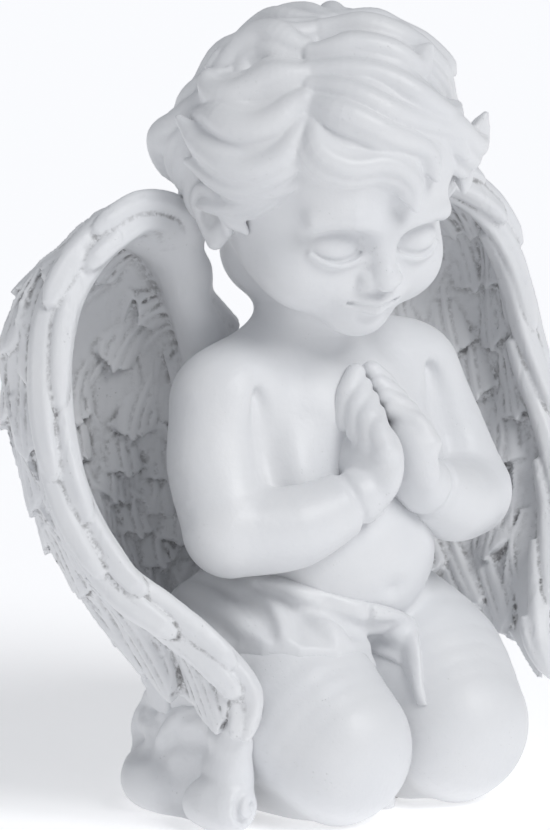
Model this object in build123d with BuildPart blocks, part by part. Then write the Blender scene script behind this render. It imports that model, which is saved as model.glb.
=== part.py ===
"""Kneeling, praying cherub figurine with wings, in cast resin. Millimetres.

The figure faces -Y, its left side is +X and +Z is up. The origin is on the
floor, in the middle of the felt under the base. Hollow and solid castings meet
on joint faces and are glued on steel pins.
"""

import os

from build123d import *

# Driving dimensions
FELT = 1.5                      # thickness of the felt under the base
UNDERSIDE = 0.3                 # the felt stands this far below the castings
PLATE = 4.0                     # thickness of the plate that closes the base
WALL = 7.0                      # wall of the hollow castings
PIN_R = 2.5                     # steel pins in the arms and wings
NECK_PIN_R = 4.0
PIN_GAP = 0.05                  # radial room for glue around each pin
NECK_Z = 176.0                  # joint face between body and head
SHOULDER_X = 45.0               # joint face between body and arm
PALM_GAP = 0.15                 # each palm stops this far from the middle plane
WING_THICKNESS = 8.0
LEFT_SPREAD = 10.0              # the left wing opens this much wider

SIDES = {"right": -1, "left": 1}

# Where the pins are
NECK_PIN = (0, 3)
NECK_PIN_BELOW, NECK_PIN_ABOVE = 16.0, 24.0
ARM_PIN = (1, 150)              # Y and Z
ARM_PIN_HALF = 10.0
WING_PIN_HEIGHTS = (145.0, 157.0)
WING_PIN_X = 23.0
WING_PIN_FRONT, WING_PIN_BACK = 14.0, 42.0

# The plate that closes the hollow base, and its vent
PLATE_CENTRE = (0, 8)
PLATE_WIDTH, PLATE_DEPTH, PLATE_CORNER = 66.0, 74.0, 20.0
PLATE_GAP = 0.1
FELT_GAP = 0.4
LEDGE = 7.0                     # the plate rests on a ledge this wide
MOUTH_TOP = 40.0                # the base's mouth reaches up into the hollow
PLINTH_RIM = 6.0                # the flat underside around the plate
PLINTH_TOP = 30.0
VENT_R = 8.0
VENT_LIP = 2.5
VENT_LIP_THICKNESS = 1.0
VENT_DEPTH = 9.0
VENT_GAP = 0.1


# ------------------------------------------------------------ plain solids
def spindle(start, end, r_start, r_end):
    """Two balls and the cone that wraps them, as one solid of revolution."""
    axis = Vector(*end) - Vector(*start)
    length = axis.length
    lean = (r_start - r_end) / length
    cosine = (1 - lean**2) ** 0.5
    less, more = ((1 - lean) / 2) ** 0.5, ((1 + lean) / 2) ** 0.5
    low = (r_start * cosine, r_start * lean)
    high = (r_end * cosine, length + r_end * lean)
    with BuildPart() as solid:
        with BuildSketch(Plane.XZ):
            with BuildLine():
                ThreePointArc((0, -r_start), (r_start * more, -r_start * less), low)
                Line(low, high)
                ThreePointArc(high, (r_end * less, length + r_end * more), (0, length + r_end))
                Line((0, length + r_end), (0, -r_start))
            make_face()
        revolve(axis=Axis.Z)
    return Plane(origin=start, z_dir=axis) * solid.part


def egg(centre, axis, across, along):
    """Half an ellipse turned about a direction."""
    with BuildPart() as solid:
        with BuildSketch(Plane.XZ):
            Ellipse(across, along)
            with Locations((-across, 0)):
                Rectangle(2 * across, 2 * along, mode=Mode.SUBTRACT)
        revolve(axis=Axis.Z)
    return Plane(origin=centre, z_dir=axis) * solid.part


def rod(start, end, radius):
    """A round pin between two points."""
    axis = Vector(*end) - Vector(*start)
    with BuildPart() as solid:
        Cylinder(radius, axis.length, align=(Align.CENTER, Align.CENTER, Align.MIN))
    return Plane(origin=start, z_dir=axis) * solid.part


def mirrored(point, side):
    """A point given for the figure's left, on the chosen side."""
    return (point[0] * side, *point[1:])


# ------------------------------------------------------------ arms
ARM_BOX = 100.0


def arm_solids(side):
    """Upper arm, forearm, palm, thumb and four fingers."""
    shoulder, middle, elbow = (45.5, 1, 153), (53, -5, 132), (58, -17, 111)
    forearm, wrist = (57.5, -19.5, 109), (16, -41.5, 121)
    solids = [
        spindle(mirrored(shoulder, side), mirrored(middle, side), 19, 18.5),
        spindle(mirrored(middle, side), mirrored(elbow, side), 18.4, 16.8),
        spindle(mirrored(forearm, side), mirrored(wrist, side), 16.4, 10.8),
        egg(mirrored((8.4, -42.5, 131.5), side), (0, 0.25, 1), 9, 17),
        spindle(mirrored((9.5, -31, 130), side), mirrored((4.6, -24, 151), side), 6, 4),
    ]
    for finger in range(4):
        knuckle = (10.6, -50.5 + 7.4 * finger, 138.5 + 2.8 * finger)
        tip = (4, -37.5 + 3.9 * finger, 151 + 4.4 * finger)
        solids.append(spindle(mirrored(knuckle, side), mirrored(tip, side), 4.8, 3.6))
    return solids


def arm_pin(side):
    inner = ((SHOULDER_X - ARM_PIN_HALF) * side, *ARM_PIN)
    outer = ((SHOULDER_X + ARM_PIN_HALF) * side, *ARM_PIN)
    return inner, outer


arms = {}
for name, side in SIDES.items():
    pieces = arm_solids(side)
    hole = rod(*arm_pin(side), PIN_R + PIN_GAP)
    with BuildPart() as arm:
        for piece in pieces:
            add(piece)
        with Locations((0.5 * SHOULDER_X * side, 0, 155)):
            Box(SHOULDER_X, 60, 60, mode=Mode.SUBTRACT)
        with Locations(((PALM_GAP - ARM_BOX / 2) * side, -40, 140)):
            Box(ARM_BOX, 80, 80, mode=Mode.SUBTRACT)
        add(hole, mode=Mode.SUBTRACT)
    arms[name] = arm


# ------------------------------------------------------------ body
def trunk(thinner=0.0):
    """Hips, belly and chest, each thinner by a wall for the hollow."""
    chest_z = 138 if thinner == 0 else 128
    return [
        spindle((-12, 12, 50), (12, 12.4, 50.3), 39 - thinner, 39.3 - thinner),
        spindle((0, -10, 95), (0, 0, 99), 37 - thinner, 36 - thinner),
        spindle((-14, 0, chest_z - 0.2), (14.3, 0.6, chest_z), 30 - thinner, 29.8 - thinner),
    ]


def leg(side):
    """Thigh and knee, shin, foot and buttock of the folded leg."""
    return [
        spindle(mirrored((32, 5, 50), side), mirrored((31.7, -22, 43), side), 35.5, 33),
        spindle(mirrored((31.5, -22.5, 42.6), side), mirrored((29, -45, 29.5), side), 32.8, 26.5),
        spindle(mirrored((28, -44, 15), side), mirrored((25, 46, 12.5), side), 14.5, 12),
        spindle(mirrored((25.5, 45, 11), side), mirrored((22, 64, 9.5), side), 9.5, 8),
        spindle(mirrored((19, 30, 40), side), mirrored((17, 31, 56), side), 24, 22),
    ]


yoke = [
    spindle((-41, 2, 154), (41.3, 2.5, 154.2), 19, 18.9),
    spindle((0, 3.3, 160), (0, 2, 186), 20, 17.5),
]
loincloth = egg((0, 5, 72), (0, -0.15, 1), 50, 15)
legs = leg(-1) + leg(1)
neck_pin_ends = (*NECK_PIN, NECK_Z - NECK_PIN_BELOW), (*NECK_PIN, NECK_Z + NECK_PIN_ABOVE)


# The flat-bottomed block around the mouth, between the folded legs
with BuildPart() as plinth_block:
    with BuildSketch(Plane.XY):
        with Locations(PLATE_CENTRE):
            RectangleRounded(
                PLATE_WIDTH + 2 * PLINTH_RIM, PLATE_DEPTH + 2 * PLINTH_RIM, PLATE_CORNER
            )
    extrude(amount=PLINTH_TOP)
plinth = plinth_block.part


def wing_pin(side, height):
    front = (WING_PIN_X * side, WING_PIN_FRONT, height)
    back = (WING_PIN_X * side, WING_PIN_BACK, height)
    return front, back


pin_holes = [rod(*neck_pin_ends, NECK_PIN_R + PIN_GAP)]
for side in SIDES.values():
    pin_holes.append(rod(*arm_pin(side), PIN_R + PIN_GAP))
    pin_holes += [rod(*wing_pin(side, z), PIN_R + PIN_GAP) for z in WING_PIN_HEIGHTS]

hollow = trunk(WALL)
with BuildPart() as body:
    for piece in trunk() + yoke + legs:
        add(piece)
    add(loincloth)
    add(plinth)
    # Flat underside and neck joint
    with Locations((0, 0, UNDERSIDE - 50)):
        Box(300, 300, 100, mode=Mode.SUBTRACT)
    with Locations((0, 0, NECK_Z + 25)):
        Box(100, 100, 50, mode=Mode.SUBTRACT)
    for piece in hollow:
        add(piece, mode=Mode.SUBTRACT)
    with BuildSketch(Plane.XY):
        with Locations(PLATE_CENTRE):
            RectangleRounded(PLATE_WIDTH, PLATE_DEPTH, PLATE_CORNER)
    extrude(amount=FELT + PLATE, mode=Mode.SUBTRACT)
    with BuildSketch(Plane.XY.offset(FELT + PLATE)):
        with Locations(PLATE_CENTRE):
            RectangleRounded(
                PLATE_WIDTH - 2 * LEDGE, PLATE_DEPTH - 2 * LEDGE, PLATE_CORNER - LEDGE
            )
    extrude(amount=MOUTH_TOP, mode=Mode.SUBTRACT)
    # Shoulder joints and the seats of the forearms
    for side in SIDES.values():
        with Locations(((SHOULDER_X + 25) * side, 0, 155)):
            Box(50, 80, 60, mode=Mode.SUBTRACT)
    for arm in arms.values():
        add(arm.part, mode=Mode.SUBTRACT)
    for hole in pin_holes:
        add(hole, mode=Mode.SUBTRACT)

# ------------------------------------------------------------ head
HEAD_AT = (-3, -8, 235)
HEAD_NOD, HEAD_TURN = 18, -10
head_place = Location(HEAD_AT) * Location((0, 0, 0), (0, 0, HEAD_TURN))
head_place = head_place * Location((0, 0, 0), (HEAD_NOD, 0, 0))

head_solids = [
    spindle((-9, 8, 7), (9.3, 8.2, 7.4), 50.2, 50.4),
    spindle((0, -1, 9), (0.6, 18, 8.4), 50.8, 51.2),
    spindle((-9, -13, -16), (9.3, -13.2, -16.3), 31, 30.8),
    spindle((-4, -28, -34), (4.4, -28.3, -34.2), 17, 16.8),
    spindle((0, -44, -5), (0, -47, -13), 4, 6),
]
for side in SIDES.values():
    head_solids.append(spindle((41 * side, -3, -20), (42.5 * side, -1, -8), 6.4, 7))
# Locks of hair: a row that hangs from the sides and back, and a fringe
NAPE_LOCKS = 7
for k in range(NAPE_LOCKS):
    turn = 10 + 160 * k / (NAPE_LOCKS - 1)
    root = Vector(45, 0, -6 - 3 * (k % 2)).rotate(Axis.Z, turn) + Vector(0, 6, 0)
    tip = Vector(41, 0, -26 - 4 * (k % 3)).rotate(Axis.Z, turn + 8) + Vector(0, 5, 0)
    head_solids.append(spindle(tuple(root), tuple(tip), 11.5, 6.5))
FRINGE_LOCKS = 6
for k in range(FRINGE_LOCKS):
    turn = -158 + 136 * k / (FRINGE_LOCKS - 1)
    root = Vector(47, 0, 24).rotate(Axis.Z, turn) + Vector(0, 5, 0)
    tip = Vector(51, 0, 9 + 2.5 * (k % 2)).rotate(Axis.Z, turn + 12) + Vector(0, 4, 0)
    head_solids.append(spindle(tuple(root), tuple(tip), 10.5, 6))
head_solids = [head_place * solid for solid in head_solids]
neck = spindle((0, 3.2, 166), (-2, -2, 205), 19, 17)
skull_hollow = head_place * spindle((-6, 7, 9), (6.4, 7.2, 9.3), 32, 31.8)
neck_hole = rod(*neck_pin_ends, NECK_PIN_R + PIN_GAP)

with BuildPart() as head:
    for piece in head_solids:
        add(piece)
    add(neck)
    with Locations((0, 0, NECK_Z - 50)):
        Box(100, 100, 100, mode=Mode.SUBTRACT)
    add(skull_hollow, mode=Mode.SUBTRACT)
    add(neck_hole, mode=Mode.SUBTRACT)


# ------------------------------------------------------------ wings
# Rows run from the shoulder down to the tip, columns from the inner edge to
# the front rim. The left wing is this one mirrored and opened a little.
WING_GUIDE = [
    [(-14, 30, 176), (-36, 38, 202), (-58, 42, 220), (-76, 34, 221), (-72, 22, 223)],
    [(-22, 44, 160), (-50, 57, 172), (-83, 59, 190), (-103, 42, 190), (-99, 20, 194)],
    [(-26, 48, 130), (-55, 63, 140), (-87, 62, 152), (-107, 43, 156), (-107, 14, 153)],
    [(-30, 50, 108), (-52, 62, 116), (-83, 57, 123), (-101, 38, 124), (-107, 5, 121)],
    [(-34, 50, 90), (-53, 58, 96), (-77, 50, 99), (-94, 30, 97), (-97, -11, 93)],
    [(-38, 49, 78), (-53, 52, 79), (-71, 42, 80), (-86, 20, 77), (-79, -29, 70)],
    [(-40, 48, 70), (-53, 45, 67), (-67, 33, 64), (-77, -6, 54), (-71, -38, 38)],
]
# The rounded front rim and the stem at the shoulder: centre line and radii
WING_RIM = [
    (-58, 21, 223), (-85, 18, 213), (-101, 17, 186), (-107, 14, 152),
    (-106, 3, 115), (-95, -13, 88), (-76, -32, 64), (-70, -39, 50),
]
WING_RIM_R = [5.4, 6.4, 6.7, 6.8, 6.6, 6.2, 5.4, 4.4]
WING_STEM = [(-24, 36, 142), (-25, 33, 160), (-36, 32, 186), (-54, 29, 212)]
WING_STEM_R = [13, 12.5, 11.5, 9]


def wing_point(point, side, share):
    """A guide point of the right wing; the left one is mirrored and spread."""
    spread = LEFT_SPREAD * share if side == 1 else 0.0
    return (-point[0] * side + spread, *point[1:])


def wing_sheet(side):
    """The curved middle surface of a wing."""
    rows = []
    for row in WING_GUIDE:
        points = [wing_point(p, side, c / (len(row) - 1)) for c, p in enumerate(row)]
        rows.append([Vector(*p) for p in points])
    return Face.make_surface_from_array_of_points(rows)


def chain(points, radii, side, share):
    """Spindles end to end along a line of points."""
    placed = [wing_point(p, side, share) for p in points]
    ends = zip(placed, placed[1:], radii, radii[1:])
    return [spindle(start, end, r_start, r_end) for start, end, r_start, r_end in ends]


wings, wing_pins = {}, {}
for name, side in SIDES.items():
    sheet = wing_sheet(side)
    pieces = chain(WING_STEM, WING_STEM_R, side, 0) + chain(WING_RIM, WING_RIM_R, side, 1)
    body_side = trunk() + yoke
    ends = [wing_pin(side, height) for height in WING_PIN_HEIGHTS]
    holes = [rod(*pair, PIN_R + PIN_GAP) for pair in ends]
    pins = [rod(*pair, PIN_R) for pair in ends]
    with BuildPart() as wing:
        thicken(sheet, amount=WING_THICKNESS / 2, both=True)
        for piece in pieces:
            add(piece)
        for piece in body_side + holes:
            add(piece, mode=Mode.SUBTRACT)
    with BuildPart() as pin_pair:
        for pin in pins:
            add(pin)
    wings[name], wing_pins[name] = wing, pin_pair

# ------------------------------------------------------------ cloth on the ground
ROLL_FRONT, ROLL_BACK = (-69, -30, 10.5), (-70, -19, 10.8)
drape_solids = [
    spindle(ROLL_FRONT, ROLL_BACK, 10.5, 10.2),
    spindle((-67, -28, 15), (-68, -31, 26.5), 8.5, 7),
    spindle((-65, -24, 16), (-60, 14, 20), 9, 11),
    spindle((-66, 9, 11.5), (-60, 26, 11), 11.9, 11.5),
    spindle((-57, 17, 32), (-48, 34, 30), 10.5, 9),
    spindle((-57, 25, 12.5), (-40, 48, 11), 12.2, 11.4),
    spindle((-40, 44, 18), (-20, 62, 13), 11, 9),
]
right_leg = leg(SIDES["right"])
hips = trunk()[:1]
with BuildPart() as drape:
    for piece in drape_solids:
        add(piece)
    with Locations((0, 0, UNDERSIDE - 50)):
        Box(300, 300, 100, mode=Mode.SUBTRACT)
    for piece in right_leg + hips + [plinth]:
        add(piece, mode=Mode.SUBTRACT)

# ------------------------------------------------------------ pins
with BuildPart() as neck_dowel:
    add(rod(*neck_pin_ends, NECK_PIN_R))
arm_dowels = {}
for name, side in SIDES.items():
    dowel_solid = rod(*arm_pin(side), PIN_R)
    with BuildPart() as dowel:
        add(dowel_solid)
    arm_dowels[name] = dowel

# ------------------------------------------------------------ base
with BuildPart() as base_plate:
    with BuildSketch(Plane.XY.offset(FELT)):
        with Locations(PLATE_CENTRE):
            RectangleRounded(
                PLATE_WIDTH - 2 * PLATE_GAP, PLATE_DEPTH - 2 * PLATE_GAP, PLATE_CORNER - PLATE_GAP
            )
            Circle(VENT_R, mode=Mode.SUBTRACT)
    extrude(amount=PLATE)
    with BuildSketch(Plane.XY.offset(FELT)):
        with Locations(PLATE_CENTRE):
            Circle(VENT_R + VENT_LIP)
    extrude(amount=VENT_LIP_THICKNESS, mode=Mode.SUBTRACT)

with BuildPart() as vent_plug:
    with BuildSketch(Plane.XY.offset(FELT)):
        with Locations(PLATE_CENTRE):
            Circle(VENT_R + VENT_LIP - VENT_GAP)
    extrude(amount=VENT_LIP_THICKNESS)
    with BuildSketch(Plane.XY.offset(FELT)):
        with Locations(PLATE_CENTRE):
            Circle(VENT_R - VENT_GAP)
    extrude(amount=VENT_DEPTH)

with BuildPart() as felt_pad:
    with BuildSketch():
        with Locations(PLATE_CENTRE):
            RectangleRounded(
                PLATE_WIDTH - 2 * FELT_GAP, PLATE_DEPTH - 2 * FELT_GAP, PLATE_CORNER - FELT_GAP
            )
    extrude(amount=FELT)

# ------------------------------------------------------------ write the parts
os.makedirs("parts", exist_ok=True)

body.part.label = "body_casting"
export_step(body.part, "parts/body_casting.step")
head.part.label = "head_casting"
export_step(head.part, "parts/head_casting.step")
arms["right"].part.label = "right_arm_casting"
export_step(arms["right"].part, "parts/right_arm_casting.step")
arms["left"].part.label = "left_arm_casting"
export_step(arms["left"].part, "parts/left_arm_casting.step")
wings["right"].part.label = "right_wing_casting"
export_step(wings["right"].part, "parts/right_wing_casting.step")
wings["left"].part.label = "left_wing_casting"
export_step(wings["left"].part, "parts/left_wing_casting.step")
drape.part.label = "ground_drape"
export_step(drape.part, "parts/ground_drape.step")
neck_dowel.part.label = "neck_dowel"
export_step(neck_dowel.part, "parts/neck_dowel.step")
arm_dowels["right"].part.label = "right_arm_dowel"
export_step(arm_dowels["right"].part, "parts/right_arm_dowel.step")
arm_dowels["left"].part.label = "left_arm_dowel"
export_step(arm_dowels["left"].part, "parts/left_arm_dowel.step")
wing_pins["right"].part.label = "right_wing_pins"
export_step(wing_pins["right"].part, "parts/right_wing_pins.step")
wing_pins["left"].part.label = "left_wing_pins"
export_step(wing_pins["left"].part, "parts/left_wing_pins.step")
base_plate.part.label = "base_plate"
export_step(base_plate.part, "parts/base_plate.step")
vent_plug.part.label = "vent_plug"
export_step(vent_plug.part, "parts/vent_plug.step")
felt_pad.part.label = "felt_pad"
export_step(felt_pad.part, "parts/felt_pad.step")
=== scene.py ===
"""Looks of the kneeling, praying cherub: modelled skin, hair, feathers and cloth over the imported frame.

Lengths in the modelling helpers are millimetres, in the frame of the CAD: the
figure faces -Y, its left is +X, +Z is up and the floor is at Z = 0.
"""

import math

import bpy
import numpy as np
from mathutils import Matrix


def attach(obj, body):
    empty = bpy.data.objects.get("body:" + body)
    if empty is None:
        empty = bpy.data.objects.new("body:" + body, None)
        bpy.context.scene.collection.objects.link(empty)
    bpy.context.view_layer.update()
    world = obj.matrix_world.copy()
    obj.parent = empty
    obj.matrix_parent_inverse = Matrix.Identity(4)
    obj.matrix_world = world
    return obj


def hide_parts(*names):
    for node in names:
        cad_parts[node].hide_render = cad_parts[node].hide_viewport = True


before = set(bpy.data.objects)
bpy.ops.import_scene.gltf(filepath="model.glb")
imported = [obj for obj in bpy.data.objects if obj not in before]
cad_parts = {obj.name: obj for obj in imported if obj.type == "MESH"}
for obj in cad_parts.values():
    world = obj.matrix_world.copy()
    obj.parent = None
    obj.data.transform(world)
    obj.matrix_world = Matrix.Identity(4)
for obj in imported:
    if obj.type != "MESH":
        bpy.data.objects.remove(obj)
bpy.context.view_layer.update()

import openvdb
from mathutils import Vector

MM = 0.001
# Grid pitches of the clays, in millimetres
BODY_STEP, ARM_STEP, LOIN_STEP, HEAD_STEP, WING_STEP, DRAPE_STEP = 1.3, 0.8, 0.9, 0.75, 0.8, 0.9


# ------------------------------------------------------------ clay
FAR = 40.0          # the distance that stands for empty space, in millimetres
SINK_SLOPE = 0.06   # how fast a casting draws in beyond its joint face, per millimetre


def smooth_min(a, b, k):
    if k <= 0:
        return np.minimum(a, b)
    h = np.clip(0.5 + 0.5 * (b - a) / k, 0.0, 1.0)
    return b + (a - b) * h - k * h * (1.0 - h)


def unit(v):
    """Vectors brought to a length of one."""
    return v / np.linalg.norm(v, axis=-1, keepdims=True)


def turn(x=0.0, y=0.0, z=0.0):
    """Rotation matrix: degrees about X, then Y, then Z."""
    ax, ay, az = (math.radians(v) for v in (x, y, z))
    rx = np.array([[1, 0, 0], [0, math.cos(ax), -math.sin(ax)], [0, math.sin(ax), math.cos(ax)]])
    ry = np.array([[math.cos(ay), 0, math.sin(ay)], [0, 1, 0], [-math.sin(ay), 0, math.cos(ay)]])
    rz = np.array([[math.cos(az), -math.sin(az), 0], [math.sin(az), math.cos(az), 0], [0, 0, 1]])
    return rz @ ry @ rx


class Clay:
    """A block of clay: signed distances in millimetres on a cubic grid, negative inside."""

    def __init__(self, low, high, step):
        self.low = np.array(low, float)
        self.step = step
        self.count = np.ceil((np.array(high, float) - self.low) / step).astype(int) + 1
        self.d = np.full(self.count, FAR, np.float32)

    def empty(self, first=(0, 0, 0), count=None):
        """Empty clay on the same grid, or on the block of it that starts at first."""
        low = self.low + self.step * np.array(first)
        made = Clay(low, low, self.step)
        made.count = self.count if count is None else count
        made.d = np.full(made.count, FAR, np.float32)
        return made

    def stand(self):
        """Cuts the clay off just above the floor."""
        self.d = np.maximum(self.d, (UNDERSIDE - self.axes()[2]) + 0 * self.d).astype(np.float32)

    def window(self, low, high):
        first = np.clip(np.floor((np.array(low) - self.low) / self.step).astype(int), 0, self.count)
        last = np.clip(np.ceil((np.array(high) - self.low) / self.step).astype(int) + 1, 0, self.count)
        return tuple(slice(a, b) for a, b in zip(first, last)), *self.ticks(first, last)

    def ticks(self, first, last):
        """X, Y and Z of the grid between two corners, shaped to spread over a block."""
        x, y, z = (
            (self.low[i] + self.step * np.arange(first[i], last[i])).astype(np.float32)
            for i in range(3)
        )
        return x[:, None, None], y[None, :, None], z[None, None, :]

    def add(self, shape, blend=0.0):
        cut, near = shape.field(self, blend)
        if near.size:
            self.d[cut] = smooth_min(self.d[cut], near, blend)

    def carve(self, shape, blend=0.0):
        cut, near = shape.field(self, blend)
        if near.size:
            self.d[cut] = -smooth_min(-self.d[cut], near, blend)

    def axes(self):
        """The grid's X, Y and Z, shaped to spread over the block."""
        return self.ticks((0, 0, 0), self.count)

    def sink(self, axis, at, sign, where=None, depth=3.0):
        """Draws the surface in beyond a plane, so that two castings cross smoothly on it."""
        beyond = np.maximum(sign * (self.axes()[axis] - at), 0)
        sunk = np.maximum(self.d + SINK_SLOPE * beyond**2, beyond - depth + 0 * self.d)
        touched = np.broadcast_to(beyond > 0, self.d.shape)
        if where is not None:
            touched = touched & where
        self.d = np.where(touched, sunk, self.d).astype(np.float32)


class Shape:
    def __init__(self, distance, low, high):
        self.distance = distance
        self.low = np.array(low, float)
        self.high = np.array(high, float)

    def field(self, clay, blend):
        cut, x, y, z = clay.window(self.low - blend, self.high + blend)
        return cut, self.distance(x, y, z) if clay.d[cut].size else clay.d[cut]


def ellipsoid(centre, radii, spin=None):
    c = np.array(centre, float)
    r = np.array(radii if hasattr(radii, "__len__") else (radii,) * 3, float)
    m = np.eye(3) if spin is None else spin
    reach = np.sqrt(((m * r) ** 2).sum(1)) + 1.0

    def distance(x, y, z):
        px, py, pz = x - np.float32(c[0]), y - np.float32(c[1]), z - np.float32(c[2])
        k0, k1 = 0.0, 0.0
        for i in range(3):
            if spin is None:
                q = (px, py, pz)[i] / np.float32(r[i])
            else:
                q = (m[0, i] * px + m[1, i] * py + m[2, i] * pz).astype(np.float32) / np.float32(r[i])
            k0 = k0 + q * q
            k1 = k1 + (q / np.float32(r[i])) ** 2
        k0, k1 = np.sqrt(k0), np.sqrt(k1)
        return (k0 * (k0 - 1.0) / np.maximum(k1, 1e-6)).astype(np.float32)

    return Shape(distance, c - reach, c + reach)


def between(a, b, c, d, t):
    """Catmull-Rom: from b at t = 0 to c at t = 1, with a before and d after them."""
    return 0.5 * (
        2 * b + (c - a) * t + (2 * a - 5 * b + 4 * c - d) * t**2 + (3 * b - a - 3 * c + d) * t**3
    )


def curve(points, n):
    """n + 1 points on a Catmull-Rom curve through the given ones, or on a straight line through two."""
    p = np.array(points, float)
    if len(p) == 2:
        t = np.linspace(0, 1, n + 1)[:, None]
        return p[0] * (1 - t) + p[1] * t
    p = np.vstack([2 * p[0] - p[1], p, 2 * p[-1] - p[-2]])
    spans = len(p) - 3
    u = np.linspace(0, spans, n + 1)
    i = np.minimum(u.astype(int), spans - 1)
    t = (u - i)[:, None]
    return between(p[i], p[i + 1], p[i + 2], p[i + 3], t)


class Tube:
    """A limb or strand: round section along a smooth curve, with a radius at each given point."""

    def __init__(self, points, radii, n=12):
        self.pts = curve(points, n)
        self.rad = np.interp(np.linspace(0, 1, n + 1), np.linspace(0, 1, len(radii)), radii)
        self.low = (self.pts - self.rad[:, None]).min(0) - 1.0
        self.high = (self.pts + self.rad[:, None]).max(0) + 1.0

    def field(self, clay, blend):
        """Its distances on the clay's grid, worked out only near each stretch."""
        cut, x, y, z = clay.window(self.low - blend, self.high + blend)
        out = np.full(clay.d[cut].shape, FAR, np.float32)
        if not out.size:
            return cut, out
        start = np.array([s.start for s in cut])
        stop = start + out.shape
        for a, b, ra, rb in zip(self.pts[:-1], self.pts[1:], self.rad[:-1], self.rad[1:]):
            reach = max(ra, rb) + blend + 2 * clay.step
            first = np.floor((np.minimum(a, b) - reach - clay.low) / clay.step).astype(int)
            last = np.ceil((np.maximum(a, b) + reach - clay.low) / clay.step).astype(int) + 1
            first, last = np.clip(first, start, stop), np.clip(last, start, stop)
            if (last <= first).any():
                continue
            near = tuple(slice(i, j) for i, j in zip(first - start, last - start))
            x, y, z = clay.ticks(first, last)
            ab = (b - a).astype(np.float32)
            px, py, pz = (v - np.float32(o) for v, o in zip((x, y, z), a))
            t = np.clip((px * ab[0] + py * ab[1] + pz * ab[2]) / (ab @ ab), 0, 1)
            d = np.sqrt((px - t * ab[0]) ** 2 + (py - t * ab[1]) ** 2 + (pz - t * ab[2]) ** 2)
            out[near] = np.minimum(out[near], d - (np.float32(ra) + np.float32(rb - ra) * t))
        return cut, out


def surface_nets(clay):
    """Vertices in millimetres and quads of the clay's surface."""
    d = clay.d
    inside = d < 0
    nx, ny, nz = d.shape
    total = np.zeros((nx - 1, ny - 1, nz - 1), np.uint8)
    corners = [(i, j, k) for i in (0, 1) for j in (0, 1) for k in (0, 1)]
    for i, j, k in corners:
        total += inside[i : nx - 1 + i, j : ny - 1 + j, k : nz - 1 + k]
    cells = np.argwhere((total > 0) & (total < 8))
    shape = np.array(total.shape)
    flat = np.ravel_multi_index(cells.T, shape)
    place = np.zeros((len(cells), 3))
    hits = np.zeros(len(cells))
    for a in range(3):
        others = [b for b in range(3) if b != a]
        for s in (0, 1):
            for t in (0, 1):
                start = cells.copy()
                start[:, others[0]] += s
                start[:, others[1]] += t
                stop = start.copy()
                stop[:, a] += 1
                da = d[tuple(start.T)].astype(float)
                db = d[tuple(stop.T)].astype(float)
                cross = (da < 0) != (db < 0)
                f = np.where(cross, da / np.where(cross, da - db, 1.0), 0.0)
                hit = start.astype(float)
                hit[:, a] += f
                place[cross] += hit[cross]
                hits[cross] += 1
    points = clay.low + clay.step * place / hits[:, None]
    faces = []
    for a in range(3):
        b, c = (a + 1) % 3, (a + 2) % 3
        first = [slice(None)] * 3
        last = [slice(None)] * 3
        first[a], last[a] = slice(0, -1), slice(1, None)
        edge = inside[tuple(first)] != inside[tuple(last)]
        e = np.argwhere(edge)
        ok = (e[:, b] > 0) & (e[:, c] > 0) & (e[:, b] < shape[b]) & (e[:, c] < shape[c])
        e = e[ok]
        out = inside[tuple(e.T)]
        ring = []
        for db, dc in ((-1, -1), (0, -1), (0, 0), (-1, 0)):
            q = e.copy()
            q[:, b] += db
            q[:, c] += dc
            ring.append(np.searchsorted(flat, np.ravel_multi_index(q.T, shape)))
        quad = np.stack(ring, 1)
        quad[~out] = quad[~out][:, ::-1]
        faces.append(quad)
    return points, np.vstack(faces)


def relax(points, faces, turns=2, share=0.5, back=1.04):
    """Laplacian smoothing, in and then out again so that the shape keeps its volume."""
    edges = np.vstack([faces[:, [0, 1]], faces[:, [1, 2]], faces[:, [2, 3]], faces[:, [3, 0]]])
    count = np.bincount(edges.ravel(), minlength=len(points)).astype(float)
    for _ in range(turns):
        for amount in (share, -share * back):
            near = np.zeros_like(points)
            for k in range(3):
                near[:, k] = np.bincount(edges[:, 0], points[edges[:, 1], k], len(points))
                near[:, k] += np.bincount(edges[:, 1], points[edges[:, 0], k], len(points))
            points = points + amount * (near / count[:, None] - points)
    return points


def make_piece(name, points, faces, smooth=True):
    """A mesh object from points in millimetres."""
    mesh = bpy.data.meshes.new(name)
    mesh.from_pydata([], [], [])
    mesh.vertices.add(len(points))
    mesh.vertices.foreach_set("co", (np.asarray(points) * MM).astype(np.float32).ravel())
    side = faces.shape[1]
    mesh.loops.add(faces.size)
    mesh.loops.foreach_set("vertex_index", faces.astype(np.int32).ravel())
    mesh.polygons.add(len(faces))
    mesh.polygons.foreach_set("loop_start", np.arange(0, faces.size, side, dtype=np.int32))
    mesh.update(calc_edges=True)
    mesh.validate()
    mesh.polygons.foreach_set("use_smooth", np.full(len(mesh.polygons), smooth))
    piece = bpy.data.objects.new(name, mesh)
    bpy.context.scene.collection.objects.link(piece)
    return piece


def cast(name, clay, turns):
    """The mesh object of a clay's surface, smoothed."""
    points, faces = surface_nets(clay)
    make_piece(name, relax(points, faces, turns), faces)


# ------------------------------------------------------------ flesh
JOINT_X = 45.0      # castings meet here at the shoulders
JOINT_Z = 176.0     # and here at the neck
UNDERSIDE = 0.3     # the modelled castings end this far above the floor
PALM_GAP = 0.15     # half of the space between the palms
HEAD_AT = np.array([-3.0, -8.0, 235.0])
HEAD_TURN = turn(18, 0, -10)


def sided(points, side):
    """Points given for the figure's left, on the chosen side."""
    return [(x * side, y, z) for x, y, z in points]


def head_point(point):
    return HEAD_AT + HEAD_TURN @ np.array(point, float)


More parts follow.
